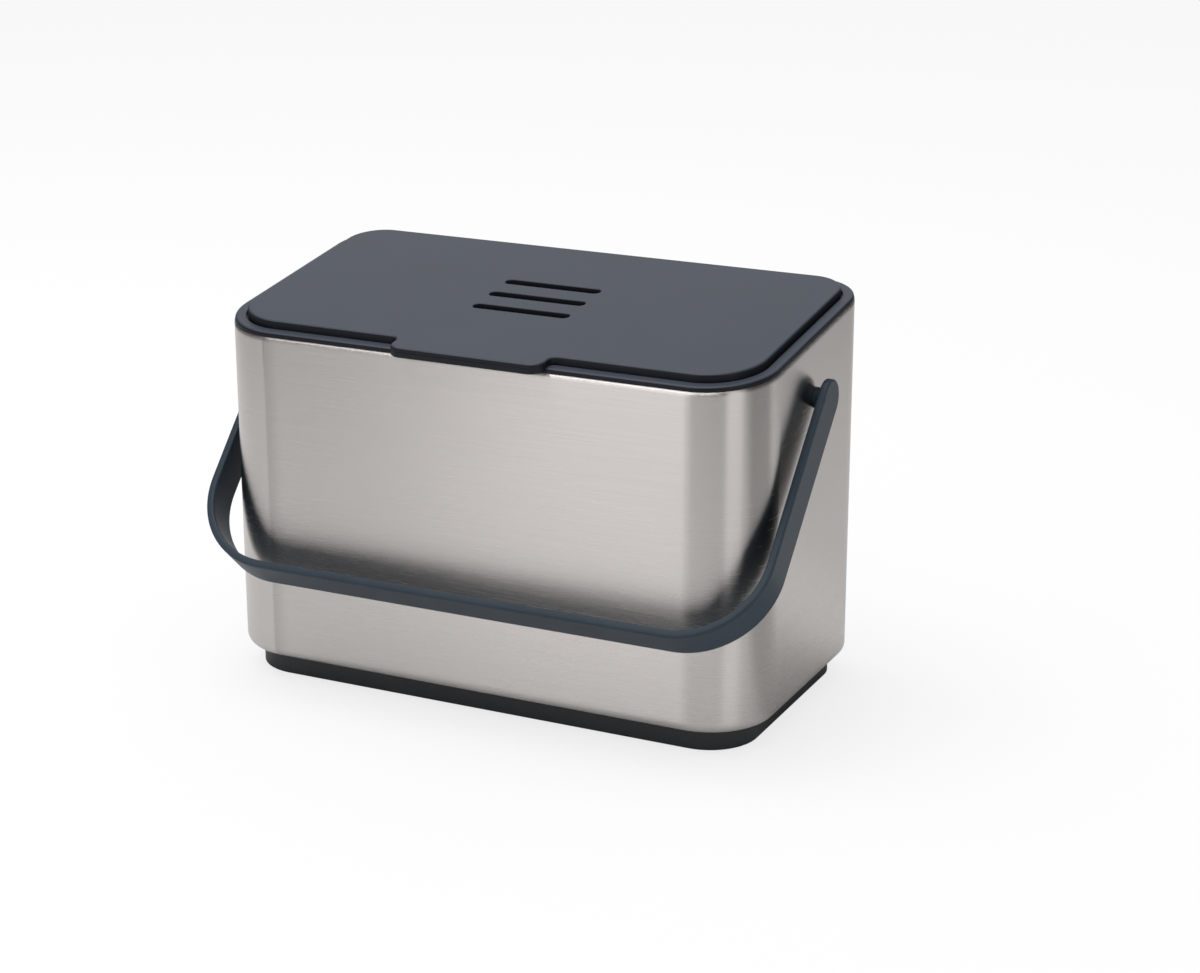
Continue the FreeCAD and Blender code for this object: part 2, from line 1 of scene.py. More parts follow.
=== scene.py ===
import math
import bmesh
import bpy
import mathutils
import numpy as np
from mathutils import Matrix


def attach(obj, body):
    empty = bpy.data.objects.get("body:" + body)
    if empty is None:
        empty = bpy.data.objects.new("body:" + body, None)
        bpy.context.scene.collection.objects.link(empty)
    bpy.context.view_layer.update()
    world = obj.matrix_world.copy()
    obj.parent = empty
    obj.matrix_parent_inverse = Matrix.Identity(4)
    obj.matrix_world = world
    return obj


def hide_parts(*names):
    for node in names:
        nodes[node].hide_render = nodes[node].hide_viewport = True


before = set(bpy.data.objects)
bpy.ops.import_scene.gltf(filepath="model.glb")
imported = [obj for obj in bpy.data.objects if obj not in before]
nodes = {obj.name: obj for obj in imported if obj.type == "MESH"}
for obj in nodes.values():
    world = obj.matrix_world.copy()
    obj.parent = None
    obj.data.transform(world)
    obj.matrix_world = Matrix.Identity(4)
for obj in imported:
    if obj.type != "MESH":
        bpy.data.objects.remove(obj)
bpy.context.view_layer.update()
mm = 0.001                                       # sizes below are in millimetres unless a note says otherwise
print("frame loaded with", len(nodes), "nodes")


# Shader sums: a Signal is one socket, and + - * / and abs() on it add Math nodes to its finish
class Signal:
    def __init__(self, maker, socket):
        self.maker = maker
        self.socket = socket

    def maths(self, operation, first, second):
        return self.maker.node("ShaderNodeMath", {"operation": operation}, {0: first, 1: second})

    def __add__(self, other):
        return self.maths("ADD", self, other)

    def __radd__(self, other):
        return self.maths("ADD", other, self)

    def __sub__(self, other):
        return self.maths("SUBTRACT", self, other)

    def __rsub__(self, other):
        return self.maths("SUBTRACT", other, self)

    def __mul__(self, other):
        return self.maths("MULTIPLY", self, other)

    def __rmul__(self, other):
        return self.maths("MULTIPLY", other, self)

    def __truediv__(self, other):
        return self.maths("DIVIDE", self, other)

    def __rtruediv__(self, other):
        return self.maths("DIVIDE", other, self)

    def __abs__(self):
        return self.maths("ABSOLUTE", self, 0.0)


# A Finish is one material; node() is the only place that makes a node
class Finish:
    def __init__(self, name):
        self.material = bpy.data.materials.new(name)
        self.material.use_nodes = True
        self.tree = self.material.node_tree
        self.tree.nodes.clear()

    def node(self, kind, settings, sockets, output=0):
        made = self.tree.nodes.new(kind)
        for key, value in settings.items():
            setattr(made, key, value)
        for key, value in sockets.items():
            if isinstance(value, Signal):
                self.tree.links.new(value.socket, made.inputs[key])
            else:
                made.inputs[key].default_value = value
        return Signal(self, made.outputs[output]) if made.outputs else None

    def place(self, squeeze=(1, 1, 1)):          # Object coordinates in metres, stretched by squeeze
        spot = self.node("ShaderNodeTexCoord", {}, {}, "Object")
        return self.node("ShaderNodeMapping", {}, {"Vector": spot, "Scale": squeeze})

    def along(self, axis, source="Object"):      # one coordinate, or one part of the normal
        vector = self.node("ShaderNodeTexCoord", {}, {}, source)
        return self.node("ShaderNodeSeparateXYZ", {}, {"Vector": vector}, axis)

    def noise(self, spot, scale, detail=2.0, rough=0.5):     # varies about 0.5
        sockets = {"Vector": spot, "Scale": scale, "Detail": detail, "Roughness": rough}
        return self.node("ShaderNodeTexNoise", {}, sockets)

    def cells(self, spot, scale):
        return self.node("ShaderNodeTexVoronoi", {"feature": "F1"}, {"Vector": spot, "Scale": scale})

    def ramp(self, value, low, high, bottom=0.0, top=1.0):   # soft step between two values
        sockets = {"Value": value, "From Min": low, "From Max": high, "To Min": bottom, "To Max": top}
        return self.node("ShaderNodeMapRange", {"interpolation_type": "SMOOTHSTEP"}, sockets)

    def tint(self, factor, first, second):       # colour between two colours
        first = first if isinstance(first, Signal) else (*first, 1)
        second = second if isinstance(second, Signal) else (*second, 1)
        return self.node("ShaderNodeMix", {"data_type": "RGBA"}, {0: factor, 6: first, 7: second}, 2)

    def softEdge(self, radius, samples=8):       # normal that runs round an edge
        return self.node("ShaderNodeBevel", {"samples": samples}, {"Radius": radius * mm})

    def edgeMask(self, rounded):                 # how far that normal turns from the face's own
        flat = self.node("ShaderNodeNewGeometry", {}, {}, "Normal")
        turned = {"operation": "DOT_PRODUCT"}
        return 1 - self.node("ShaderNodeVectorMath", turned, {0: rounded, 1: flat}, "Value")

    def bump(self, height, strength, depth, normal=None):
        sockets = {"Height": height, "Strength": strength, "Distance": depth * mm}
        if normal is not None:
            sockets["Normal"] = normal
        return self.node("ShaderNodeBump", {}, sockets)

    def finish(self, sockets):
        shader = self.node("ShaderNodeBsdfPrincipled", {}, sockets)
        self.node("ShaderNodeOutputMaterial", {}, {"Surface": shader})
        return self.material


# Brushed steel: short level scratches of several lengths and a broad sheen. By the left front corner the
# colour has a painted step of reflection: painted light on its left, painted shade on its right, and a short
# line of painted shade along the crease under the rim
steelLook = {"pale": (0.690, 0.652, 0.630), "deep": (0.625, 0.590, 0.570), "roughness": 0.26, "spread": 1.0,
             "brushTurn": 0.25, "lineSize": 0.18, "lineLength": 30.0, "streakSize": 0.6, "streakLength": 60.0,
             "sheenScale": 9.0, "lineTone": 0.42, "streakTone": 0.28, "sheenTone": 0.30,
             "toneRange": (0.25, 0.75), "lineRough": 0.08, "sheenRough": 0.03, "lineHeight": 0.7,
             "streakHeight": 0.3, "lineBump": 0.42, "lineDepth": 0.03, "edgeRadius": 3.4,
             "frontRange": (-68.0, -60.0), "pressAt": -117.4, "pressEdge": 0.8, "pressFade": 10.0,
             "pressPaintedShade": 0.17, "pressPaintedLight": 0.10, "creaseHalf": 0.1, "creaseRise": (158.0, 182.0),
             "creasePaintedShade": 0.2, "paintedShadeTone": (0.05, 0.047, 0.045), "paintedLightTone": (0.95, 0.92, 0.90)}


def brushedSteel(look):
    make = Finish("brushedSteel")
    fine = make.place((1 / look["lineLength"], 1 / look["lineLength"], 1 / look["lineSize"]))
    broad = make.place((1 / look["streakLength"], 1 / look["streakLength"], 1 / look["streakSize"]))
    lines = make.noise(fine, 1 / mm, rough=0.6)
    streaks = make.noise(broad, 1 / mm)
    sheen = make.noise(make.place(), look["sheenScale"])
    mottle = lines * look["lineTone"] + streaks * look["streakTone"] + sheen * look["sheenTone"]
    colour = make.tint(make.ramp(mottle, *look["toneRange"]), look["deep"], look["pale"])
    offset = make.along("X") / mm - look["pressAt"]
    onFront = 1 - make.ramp(make.along("Y") / mm, *look["frontRange"])
    past = make.ramp(offset, -look["pressEdge"], look["pressEdge"])
    # painted light left of the press line, painted shade right of it and along the crease under the rim
    paintedLight = (1 - past) * make.ramp(offset, -look["pressFade"], 0.0)
    paintedShadeBeside = past * (1 - make.ramp(offset, 0.0, look["pressFade"]))
    narrow = 1 - make.ramp(abs(offset), look["creaseHalf"], look["pressEdge"])
    crease = narrow * make.ramp(make.along("Z") / mm, *look["creaseRise"])
    paintedShade = paintedShadeBeside * look["pressPaintedShade"] + crease * look["creasePaintedShade"]
    withPaintedLight = make.tint(paintedLight * onFront * look["pressPaintedLight"], colour, look["paintedLightTone"])
    withPaintedShade = make.tint(paintedShade * onFront, withPaintedLight, look["paintedShadeTone"])
    uneven = (lines - 0.5) * look["lineRough"] + (sheen - 0.5) * look["sheenRough"]
    height = lines * look["lineHeight"] + streaks * look["streakHeight"]
    return make.finish({
        "Base Color": withPaintedShade, "Metallic": 1.0, "Roughness": look["roughness"] + uneven,
        "Anisotropic": look["spread"], "Anisotropic Rotation": look["brushTurn"],
        "Normal": make.bump(height, look["lineBump"], look["lineDepth"], make.softEdge(look["edgeRadius"]))})


# Moulded plastic: sparked grain, faint flow mottling and burnished edges, the same in all four colours;
# the lid's colour also has painted shade on its faces that don't face up
mouldLook = {"pitsPerGrain": 0.5, "flowSqueeze": (1.0, 1.6, 1.0), "flowScale": 22.0, "flowRange": (0.3, 0.7),
             "speckGain": 0.5, "speckShare": 0.1, "edgeRange": (0.02, 0.5), "edgeShare": 0.35,
             "upRange": (0.35, 0.9), "sidePaintedShadeTone": (0.001, 0.002, 0.004), "sidePaintedShade": 0.0, "grainHeight": 0.7,
             "pitHeight": 0.3, "grainDepth": 0.04, "grainRough": 0.12, "flowRough": 0.06, "edgeRough": 0.1}
slateLook = {**mouldLook, "name": "slatePlastic", "base": (0.0225, 0.034, 0.0475),
             "pale": (0.0265, 0.039, 0.0535), "edge": (0.036, 0.050, 0.068), "roughness": 0.40, "grain": 0.30,
             "grainBump": 0.14, "edgeRadius": 0.35, "bend": 1.27}
# the lid and rim's copy of the slate plastic, lighter, with painted shade on its faces that don't face up
lidLook = {**slateLook, "name": "lidPlasticPaintedShade", "base": (0.035, 0.042, 0.057), "pale": (0.039, 0.046, 0.063),
           "edge": (0.046, 0.056, 0.073), "sidePaintedShade": 0.85, "bend": 1.3}
darkLook = {**mouldLook, "name": "darkPlastic", "base": (0.007, 0.009, 0.012), "pale": (0.010, 0.012, 0.016),
            "edge": (0.022, 0.025, 0.031), "roughness": 0.46, "grain": 0.40, "grainBump": 0.18,
            "edgeRadius": 0.5, "bend": 1.5}
bucketLook = {**mouldLook, "name": "bucketPlastic", "base": (0.115, 0.124, 0.134),
              "pale": (0.132, 0.141, 0.151), "edge": (0.18, 0.19, 0.20), "roughness": 0.38, "grain": 0.5,
              "grainBump": 0.12, "edgeRadius": 0.6, "bend": 1.5}


def mouldedPlastic(look):
    make = Finish(look["name"])
    spot = make.place()
    grain = make.noise(spot, 1 / (look["grain"] * mm), rough=0.6)
    pits = make.cells(spot, look["pitsPerGrain"] / (look["grain"] * mm))
    flow = make.noise(make.place(look["flowSqueeze"]), look["flowScale"], detail=3.0)
    rounded = make.softEdge(look["edgeRadius"])
    edge = make.edgeMask(rounded)
    body = make.tint(make.ramp(flow, *look["flowRange"]), look["base"], look["pale"])
    speck = make.tint((grain - 0.5) * look["speckGain"] + look["speckShare"], body, look["edge"])
    colour = make.tint(make.ramp(edge, *look["edgeRange"], 0.0, look["edgeShare"]), speck, look["edge"])
    if look["sidePaintedShade"]:                        # painted shade on the faces that don't face up
        paintedSideShare = 1 - make.ramp(make.along("Z", "Normal"), *look["upRange"])
        colour = make.tint(paintedSideShare * look["sidePaintedShade"], colour, look["sidePaintedShadeTone"])
    uneven = (grain - 0.5) * look["grainRough"] + (flow - 0.5) * look["flowRough"] - edge * look["edgeRough"]
    height = grain * look["grainHeight"] + pits * look["pitHeight"]
    return make.finish({
        "Base Color": colour, "IOR": look["bend"], "Roughness": look["roughness"] + uneven,
        "Normal": make.bump(height, look["grainBump"], look["grainDepth"], rounded)})


# Soft rubber: matt, with a fine stipple and a greyed bloom
rubberLook = {"base": (0.016, 0.016, 0.017), "bloom": (0.034, 0.034, 0.035), "roughness": 0.72,
              "bloomScale": 60.0, "bloomRange": (0.4, 0.75), "bloomRough": 0.2, "stipple": 0.5,
              "stippleBump": 0.25, "stippleDepth": 0.06}


def stippledRubber(look):
    make = Finish("softRubber")
    spot = make.place()
    stipple = make.cells(spot, 1 / (look["stipple"] * mm))
    bloom = make.noise(spot, look["bloomScale"], detail=4.0, rough=0.6)
    colour = make.tint(make.ramp(bloom, *look["bloomRange"]), look["base"], look["bloom"])
    return make.finish({
        "Base Color": colour, "Roughness": look["roughness"] + (bloom - 0.5) * look["bloomRough"],
        "Normal": make.bump(stipple, look["stippleBump"], look["stippleDepth"])})


# Charcoal felt: crossed fibres with pale flecks
feltLook = {"base": (0.005, 0.005, 0.006), "fibre": (0.018, 0.018, 0.019), "roughness": 0.92, "sheen": 0.25,
            "fibreSize": 0.25, "fibreLength": 3.0, "tuftScale": 180.0, "fibreTone": 0.7, "tuftTone": 0.3,
            "fleckRange": (0.42, 0.68), "tuftRough": 0.1, "fibreHeight": 0.6, "tuftHeight": 0.4,
            "feltBump": 0.8, "feltDepth": 0.3}


def charcoalFelt(look):
    make = Finish("charcoalFelt")
    thin = 1 / look["fibreSize"]
    long = 1 / look["fibreLength"]
    sidelong = make.noise(make.place((long, thin, thin)), 1 / mm, rough=0.6)
    crossing = make.noise(make.place((thin, long, thin)), 1 / mm, rough=0.6)
    tufts = make.noise(make.place(), look["tuftScale"], detail=3.0)
    fibres = sidelong * 0.5 + crossing * 0.5
    flecks = make.ramp(fibres * look["fibreTone"] + tufts * look["tuftTone"], *look["fleckRange"])
    height = fibres * look["fibreHeight"] + tufts * look["tuftHeight"]
    return make.finish({
        "Base Color": make.tint(flecks, look["base"], look["fibre"]), "Sheen Weight": look["sheen"],
        "Roughness": look["roughness"] + (tufts - 0.5) * look["tuftRough"],
        "Normal": make.bump(height, look["feltBump"], look["feltDepth"])})


# Zinc-plated steel: faint scratches and a cloudy passivated tone
zincLook = {"pale": (0.66, 0.65, 0.62), "deep": (0.50, 0.50, 0.49), "roughness": 0.33, "scratch": 0.15,
            "scratchSqueeze": (1.0, 0.15, 1.0), "scratchRough": 0.1, "scratchBump": 0.10,
            "scratchDepth": 0.02, "cloudScale": 300.0, "cloudRange": (0.35, 0.7), "cloudRough": 0.16}


def zincSteel(look):
    make = Finish("zincSteel")
    scratch = make.noise(make.place(look["scratchSqueeze"]), 1 / (look["scratch"] * mm))
    cloud = make.noise(make.place(), look["cloudScale"], detail=3.0)
    colour = make.tint(make.ramp(cloud, *look["cloudRange"]), look["deep"], look["pale"])
    uneven = (cloud - 0.5) * look["cloudRough"] + (scratch - 0.5) * look["scratchRough"]
    return make.finish({
        "Base Color": colour, "Metallic": 1.0, "Roughness": look["roughness"] + uneven,
        "Normal": make.bump(scratch, look["scratchBump"], look["scratchDepth"])})


finishes = {"steel": brushedSteel(steelLook), "slate": mouldedPlastic(slateLook),
            "lid": mouldedPlastic(lidLook), "dark": mouldedPlastic(darkLook),
            "bucket": mouldedPlastic(bucketLook), "rubber": stippledRubber(rubberLook),
            "felt": charcoalFelt(feltLook), "zinc": zincSteel(zincLook)}
wearers = {
    "steel": ["steel_shell"],
    "slate": ["handle_bail", "pivot_boss_left", "pivot_boss_right"],
    "lid": ["top_rim", "lid_panel"],
    "dark": ["base_tray", "clamp_ring", "lid_liner", "filter_cover"],
    "bucket": ["inner_bucket"],
    "rubber": ["base_mat", "lid_seal"],
    "felt": ["filter_pad"],
    "zinc": ["base_screws", "lid_screws", "boss_nuts", "pivot_washers", "pivot_screws", "hinge_pin_left",
             "hinge_pin_right", "pivot_stud_left", "pivot_stud_right", "backing_plate_left",
             "backing_plate_right"],
}
for key, names in wearers.items():
    for name in names:
        for holder in nodes[name].material_slots:
            holder.material = finishes[key]
print("finishes on", sum(len(names) for names in wearers.values()), "nodes")


# The body's outline in plan, drawn in by each inset: front corners rounder than back ones
shellForm = {"halfWidth": 150.0, "halfDepth": 77.3, "frontRound": 35.0, "backRound": 26.0, "leastRound": 2.0,
             "edgeHeight": 195.8, "slope": 7.41, "cornerSteps": 12}


def bodyOutline(insets):
    # Four quarter circles joined by straight sides: one closed ring of x and y for each inset
    inset = np.asarray(insets, float)[:, None]
    right = shellForm["halfWidth"] - inset
    deep = shellForm["halfDepth"] - inset
    front = np.minimum(np.maximum(shellForm["frontRound"] - inset, shellForm["leastRound"]), deep)
    back = np.minimum(np.maximum(shellForm["backRound"] - inset, shellForm["leastRound"]), deep)
    turn = np.linspace(0, np.pi / 2, shellForm["cornerSteps"] + 1)[None]
    x = np.concatenate([right - front + front * np.sin(turn), right - back + back * np.cos(turn),
                        back - right - back * np.sin(turn), front - right - front * np.cos(turn)], 1)
    y = np.concatenate([front - deep - front * np.cos(turn), deep - back + back * np.sin(turn),
                        deep - back + back * np.cos(turn), front - deep - front * np.sin(turn)], 1)
    return np.concatenate([x, x[:, :1]], 1), np.concatenate([y, y[:, :1]], 1)


def onSlope(x, y, height):                       # height above the sloping plane of the steel's top edge
    rise = math.tan(math.radians(shellForm["slope"]))
    return np.stack(np.broadcast_arrays(x, y, shellForm["edgeHeight"] + rise * y + height), -1)


def smooth(value, low, high):                    # soft step from 0 to 1
    share = np.clip((value - low) / (high - low), 0, 1)
    return share * share * (3 - 2 * share)


joinWithin = 0.002                               # points nearer to each other than this become one


def skin(name, grids, finish, body, crease=38.0):
    # Each grid of points becomes a sheet of four-sided faces; meeting edges are merged and faces turned out
    corners = []
    faces = []
    start = 0
    for grid in grids:
        rows, columns = grid.shape[:2]
        spot = start + np.arange(rows * columns).reshape(rows, columns)
        quads = np.stack([spot[:-1, :-1], spot[:-1, 1:], spot[1:, 1:], spot[1:, :-1]], -1)
        corners.append(grid.reshape(-1, 3) * mm)
        faces.append(quads.reshape(-1, 4))
        start += rows * columns
    mesh = bpy.data.meshes.new(name)
    mesh.from_pydata(np.concatenate(corners).tolist(), [], np.concatenate(faces).tolist())
    work = bmesh.new()
    work.from_mesh(mesh)
    bmesh.ops.remove_doubles(work, verts=work.verts, dist=joinWithin * mm)
    bmesh.ops.recalc_face_normals(work, faces=work.faces)
    work.to_mesh(mesh)
    work.free()
    mesh.polygons.foreach_set("use_smooth", np.ones(len(mesh.polygons), bool))
    mesh.set_sharp_from_angle(angle=math.radians(crease))
    mesh.materials.append(finish)
    made = bpy.data.objects.new(name, mesh)
    bpy.context.scene.collection.objects.link(made)
    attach(made, body)
    return made


# Handle: a flat band bent to a U, with round arm ends and a fine groove along one edge of its outer face
handleForm = {"armMiddle": 156.4, "barMiddle": 138.384, "bend": 43.5, "width": 20.0, "thickness": 4.0,
              "edgeRound": 0.9, "edgeSteps": 7, "turn": 227.0, "pivot": (0.0, 4.8, 166.0), "grooveAt": 8.75,
              "grooveWidth": 0.56, "grooveDepth": 0.34, "grooveFrom": 1.0, "grooveFull": 11.0,
              "groovePoints": (-1.0, -0.62, -0.3, 0.0, 0.3, 0.62, 1.0), "facePoints": (0.0, 3.0, 6.0, 7.6),
              "faceWithin": 0.001, "armPoints": (0.0, 1.0, 2.5, 4.0, 6.0, 8.0, 10.0, 12.0), "armFrom": 20.0,
              "straightSteps": 8, "bendSteps": 26, "endSteps": 24}


def handleProfile(form):
    # Half the band's section from the middle of the outer face round its edge to the middle of the inner face
    half = form["width"] / 2
    deep = form["thickness"] / 2
    edge = form["edgeRound"]
    turn = np.linspace(0, np.pi / 2, form["edgeSteps"])
    flat = np.array(form["facePoints"])
    groove = form["grooveAt"] + form["grooveWidth"] / 2 * np.array(form["groovePoints"])
    face = np.concatenate([flat, groove])
    wide = np.concatenate([face, half - edge + edge * np.sin(turn), half - edge + edge * np.cos(turn),
                           flat[::-1]])
    out = np.concatenate([face * 0 + deep, deep - edge + edge * np.cos(turn),
                          edge - deep - edge * np.sin(turn), flat * 0 - deep])
    return wide, out


def handleBand(form):
    # The section carried along arm, bend, bar, bend and arm, with half of it turned about each pivot
    wide, out = handleProfile(form)
    straight = form["barMiddle"] - form["bend"]
    flat = form["armMiddle"] - form["bend"]
    arm = np.concatenate([form["armPoints"], np.linspace(form["armFrom"], straight, form["straightSteps"])])
    turn = np.linspace(np.pi, np.pi / 2, form["bendSteps"])[1:]
    bar = np.linspace(-flat, 0, form["straightSteps"])[1:]
    x = np.concatenate([arm * 0 - form["armMiddle"], form["bend"] * np.cos(turn) - flat, bar])
    y = np.concatenate([arm, straight + form["bend"] * np.sin(turn), bar * 0 + form["barMiddle"]])
    lean = np.concatenate([arm * 0 + np.pi, turn, bar * 0 + np.pi / 2])
    x = np.concatenate([x, -x[-2::-1]])
    y = np.concatenate([y, y[-2::-1]])
    lean = np.concatenate([lean, np.pi - lean[-2::-1]])
    across = np.concatenate([wide, -wide[-2::-1]])
    outward = np.concatenate([out, out[-2::-1]])
    near = 1 - np.clip(np.abs(across + form["grooveAt"]) / (form["grooveWidth"] / 2), 0, 1) ** 2
    near = near * (outward > form["thickness"] / 2 - form["faceWithin"])
    fade = smooth(y, form["grooveFrom"], form["grooveFull"])
    reach = outward - form["grooveDepth"] * fade[:, None] * near
    band = np.stack([x[:, None] + np.cos(lean)[:, None] * reach,
                     y[:, None] + np.sin(lean)[:, None] * reach,
                     np.broadcast_to(across, reach.shape)], -1)
    about = np.linspace(0, np.pi, form["endSteps"] + 1)[:, None]
    side = np.broadcast_to(form["armMiddle"] + out, (form["endSteps"] + 1, len(out)))
    end = np.stack([side, -np.sin(about) * wide, np.cos(about) * wide], -1)
    return [band, end, end * np.array([-1, 1, 1])]


def hung(points, form):                          # from the handle's own plane to its place on the pivots
    angle = math.radians(form["turn"])
    y = points[..., 1] * math.cos(angle) - points[..., 2] * math.sin(angle)
    z = points[..., 1] * math.sin(angle) + points[..., 2] * math.cos(angle)
    return np.stack([points[..., 0], y, z], -1) + np.array(form["pivot"])


band = skin("handleBand", [hung(grid, handleForm) for grid in handleBand(handleForm)], finishes["slate"],
            "handle")
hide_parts("handle_bail")
print("handle made")


# Lid seal: a rounded rubber bulb that follows the outline under the lid
sealForm = {"inset": 12.3, "halfWidth": 1.1, "height": 1.55, "halfHeight": 1.05, "steps": 20, "square": 0.7}


def sealBulb(form):
    # A squarish oval section carried round the outline: each power under one fills the oval's corners
    turn = np.linspace(0, 2 * np.pi, form["steps"] + 1)
    fullCos = np.sign(np.cos(turn)) * np.abs(np.cos(turn)) ** form["square"]
    fullSin = np.sign(np.sin(turn)) * np.abs(np.sin(turn)) ** form["square"]
    x, y = bodyOutline(form["inset"] + form["halfWidth"] * fullCos)
    return onSlope(x, y, (form["height"] + form["halfHeight"] * fullSin)[:, None])


seal = skin("sealBulb", [sealBulb(sealForm)], finishes["rubber"], "lid")
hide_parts("lid_seal")


# Grip mat: a thin rubber sheet with concentric grooves underneath and flat lands between them
matForm = {"inset": 14.0, "thickness": 1.2, "edgeRound": 0.35, "edgeSteps": 5, "topRing": 40.0,
           "grooveFirst": 20.0, "groovePitch": 6.0, "grooveCount": 8, "grooveHalf": 0.9, "grooveDepth": 0.4,
           "grooveCurve": 0.7, "groovePoints": (-1.0, -0.7, -0.35, 0.0, 0.35, 0.7, 1.0)}


def gripMat(form):
    # Height against inset: over the top, down the rounded edge, then the land and a shallow groove in turn
    turn = np.linspace(0, np.pi / 2, form["edgeSteps"])
    middle = form["grooveFirst"] + form["groovePitch"] * np.arange(form["grooveCount"])[:, None]
    share = np.array(form["groovePoints"])
    grooves = (middle + form["grooveHalf"] * share).ravel()
    depths = np.tile(form["grooveDepth"] * (1 - share ** 2) ** form["grooveCurve"], form["grooveCount"])
    edge = form["edgeRound"]
    rim = form["inset"] + edge
    centre = shellForm["halfDepth"]
    top = np.array([centre, form["topRing"], rim])
    insets = np.concatenate([top, rim - edge * np.sin(turn), rim - edge * np.cos(turn), grooves, [centre]])
    heights = np.concatenate([top * 0 + form["thickness"], form["thickness"] - edge + edge * np.cos(turn),
                              edge - edge * np.sin(turn), depths, [0]])
    x, y = bodyOutline(insets)
    return np.stack([x, y, np.broadcast_to(heights[:, None], x.shape)], -1)


mat = skin("gripMat", [gripMat(matForm)], finishes["rubber"], "body")
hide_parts("base_mat")


# Filter pad: a slightly puffed block of felt in the housing under the lid's slots
padForm = {"halfWidth": 56.5, "halfDepth": 36.5, "middle": -2.3, "low": -6.6, "high": 3.2, "square": 0.16,
           "pull": 0.7, "pullCurve": 4, "bulge": 0.9, "crown": 0.5, "crownOver": 4.5, "edgeDrop": 0.22,
           "edgeCurve": 8, "edgeRows": 6, "ripple": 0.12, "rippleTurns": (0.9, 1.1), "rippleCurve": 6,
           "digits": 9, "rings": 14, "around": 120}


def filterPad(form):
    # Rounded-rectangle rings from the middle of the top, over a swollen edge, to the middle of the bottom.
    # The sides bow in between the corners, and both faces sink in faint waves that die away at the edge
    share = np.linspace(0, 1, form["rings"])
    drawn = np.concatenate([share, np.ones(form["edgeRows"]), share[::-1]])[:, None]
    top = 1 - form["crown"] / form["crownOver"] * share ** 2 - form["edgeDrop"] * share ** form["edgeCurve"]
    edge = np.linspace(top[-1], -top[-1], form["edgeRows"] + 2)[1:-1]
    level = np.concatenate([top, edge, -top[::-1]])[:, None]
    swell = form["bulge"] * np.sin(np.linspace(0, np.pi, form["edgeRows"] + 2)[1:-1])
    swollen = np.concatenate([share * 0, swell, share * 0])[:, None]
    turn = np.linspace(0, 2 * np.pi, form["around"] + 1)[None]
    cosine = np.round(np.cos(turn), form["digits"])          # exact zeros, so that each ring's two ends meet
    sine = np.round(np.sin(turn), form["digits"])
    squareCos = np.sign(cosine) * np.abs(cosine) ** form["square"]
    squareSin = np.sign(sine) * np.abs(sine) ** form["square"]
    spread = form["pull"] * np.sin(2 * turn) ** form["pullCurve"] - form["pull"] - form["bulge"] + swollen
    x = drawn * (form["halfWidth"] + spread) * squareCos
    y = drawn * (form["halfDepth"] + spread) * squareSin + form["middle"]
    height = (form["high"] + form["low"]) / 2 + (form["high"] - form["low"]) / 2 * level
    waves = np.sin(x * form["rippleTurns"][0]) * np.cos(y * form["rippleTurns"][1])
    sunk = form["ripple"] * np.abs(waves) * (1 - drawn ** form["rippleCurve"])
    return onSlope(x, y, height - sunk * np.sign(level))


pad = skin("filterPad", [filterPad(padForm)], finishes["felt"], "lid", crease=80.0)
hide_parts("filter_pad")


# Liner screws: six domed heads with a cross recess, square to the slope, heads facing down
screwForm = {"sides": (-109.44, 0.0, 109.44), "rows": (-52.6, 50.3), "headRadius": 2.3, "headLow": 1.1,
             "headTop": 2.1, "shankRadius": 1.1, "shankTop": 5.3, "tipRadius": 0.7, "tipLength": 0.6,
             "dome": 0.55, "domeCurve": 2.6, "crossHalf": (0.30, 0.42), "crossReach": (1.20, 1.45),
             "crossDepth": 0.6, "around": 64,
             "headRings": (0.0, 0.2, 0.35, 0.5, 0.65, 0.8, 0.95, 1.1, 1.25, 1.4, 1.65, 1.9, 2.15, 2.3)}


def linerScrews(form):
    # A turned section, dome then rim then shank, with the dome pressed in near either arm of a cross
    turn = np.linspace(0, 2 * np.pi, form["around"] + 1)[None]
    inner = np.array(form["headRings"])
    radius = np.concatenate([inner, [form["headRadius"], form["shankRadius"], form["shankRadius"],
                                     form["tipRadius"], 0]])[:, None]
    dome = form["headLow"] + form["dome"] * (inner / form["headRadius"]) ** form["domeCurve"]
    height = np.concatenate([dome, [form["headTop"], form["headTop"], form["shankTop"] - form["tipLength"],
                                    form["shankTop"], form["shankTop"]]])[:, None]
    x = radius * np.cos(turn)
    y = radius * np.sin(turn)
    arm = 1 - smooth(np.minimum(np.abs(x), np.abs(y)), *form["crossHalf"])
    reach = 1 - smooth(np.hypot(x, y), *form["crossReach"])
    onHead = (np.arange(len(radius)) < len(inner))[:, None]
    height = height + form["crossDepth"] * arm * reach * onHead
    tilt = math.radians(shellForm["slope"])
    shaped = np.stack([x, y * math.cos(tilt) - height * math.sin(tilt),
                       y * math.sin(tilt) + height * math.cos(tilt)], -1)
    places = [(side, row) for row in form["rows"] for side in form["sides"]]
    return [shaped + onSlope(np.array(side), np.array(row), 0.0) for side, row in places]


screws = skin("linerScrews", linerScrews(screwForm), finishes["zinc"], "lid")
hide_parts("lid_screws")
print("seal, mat, pad and screws made")


# Stage, in metres: a wide pale floor, studio cards that only reflections see, even light and one soft lamp
stageLook = {"floorSize": 30.0, "floorShown": 0.99, "floorLit": 0.75, "floorFill": 0.76, "cardRadius": 1.2,
             "cardFoot": 0.0005, "cardHeight": 4.0, "cardSides": 96, "cardPeak": 1.5, "standingTone": 0.11,
             "lyingTone": 0.62, "worldTone": 0.95, "lampSize": 1.4, "lampPlace": (-0.5, -0.2, 1.9),
             "lampPower": 22.0}
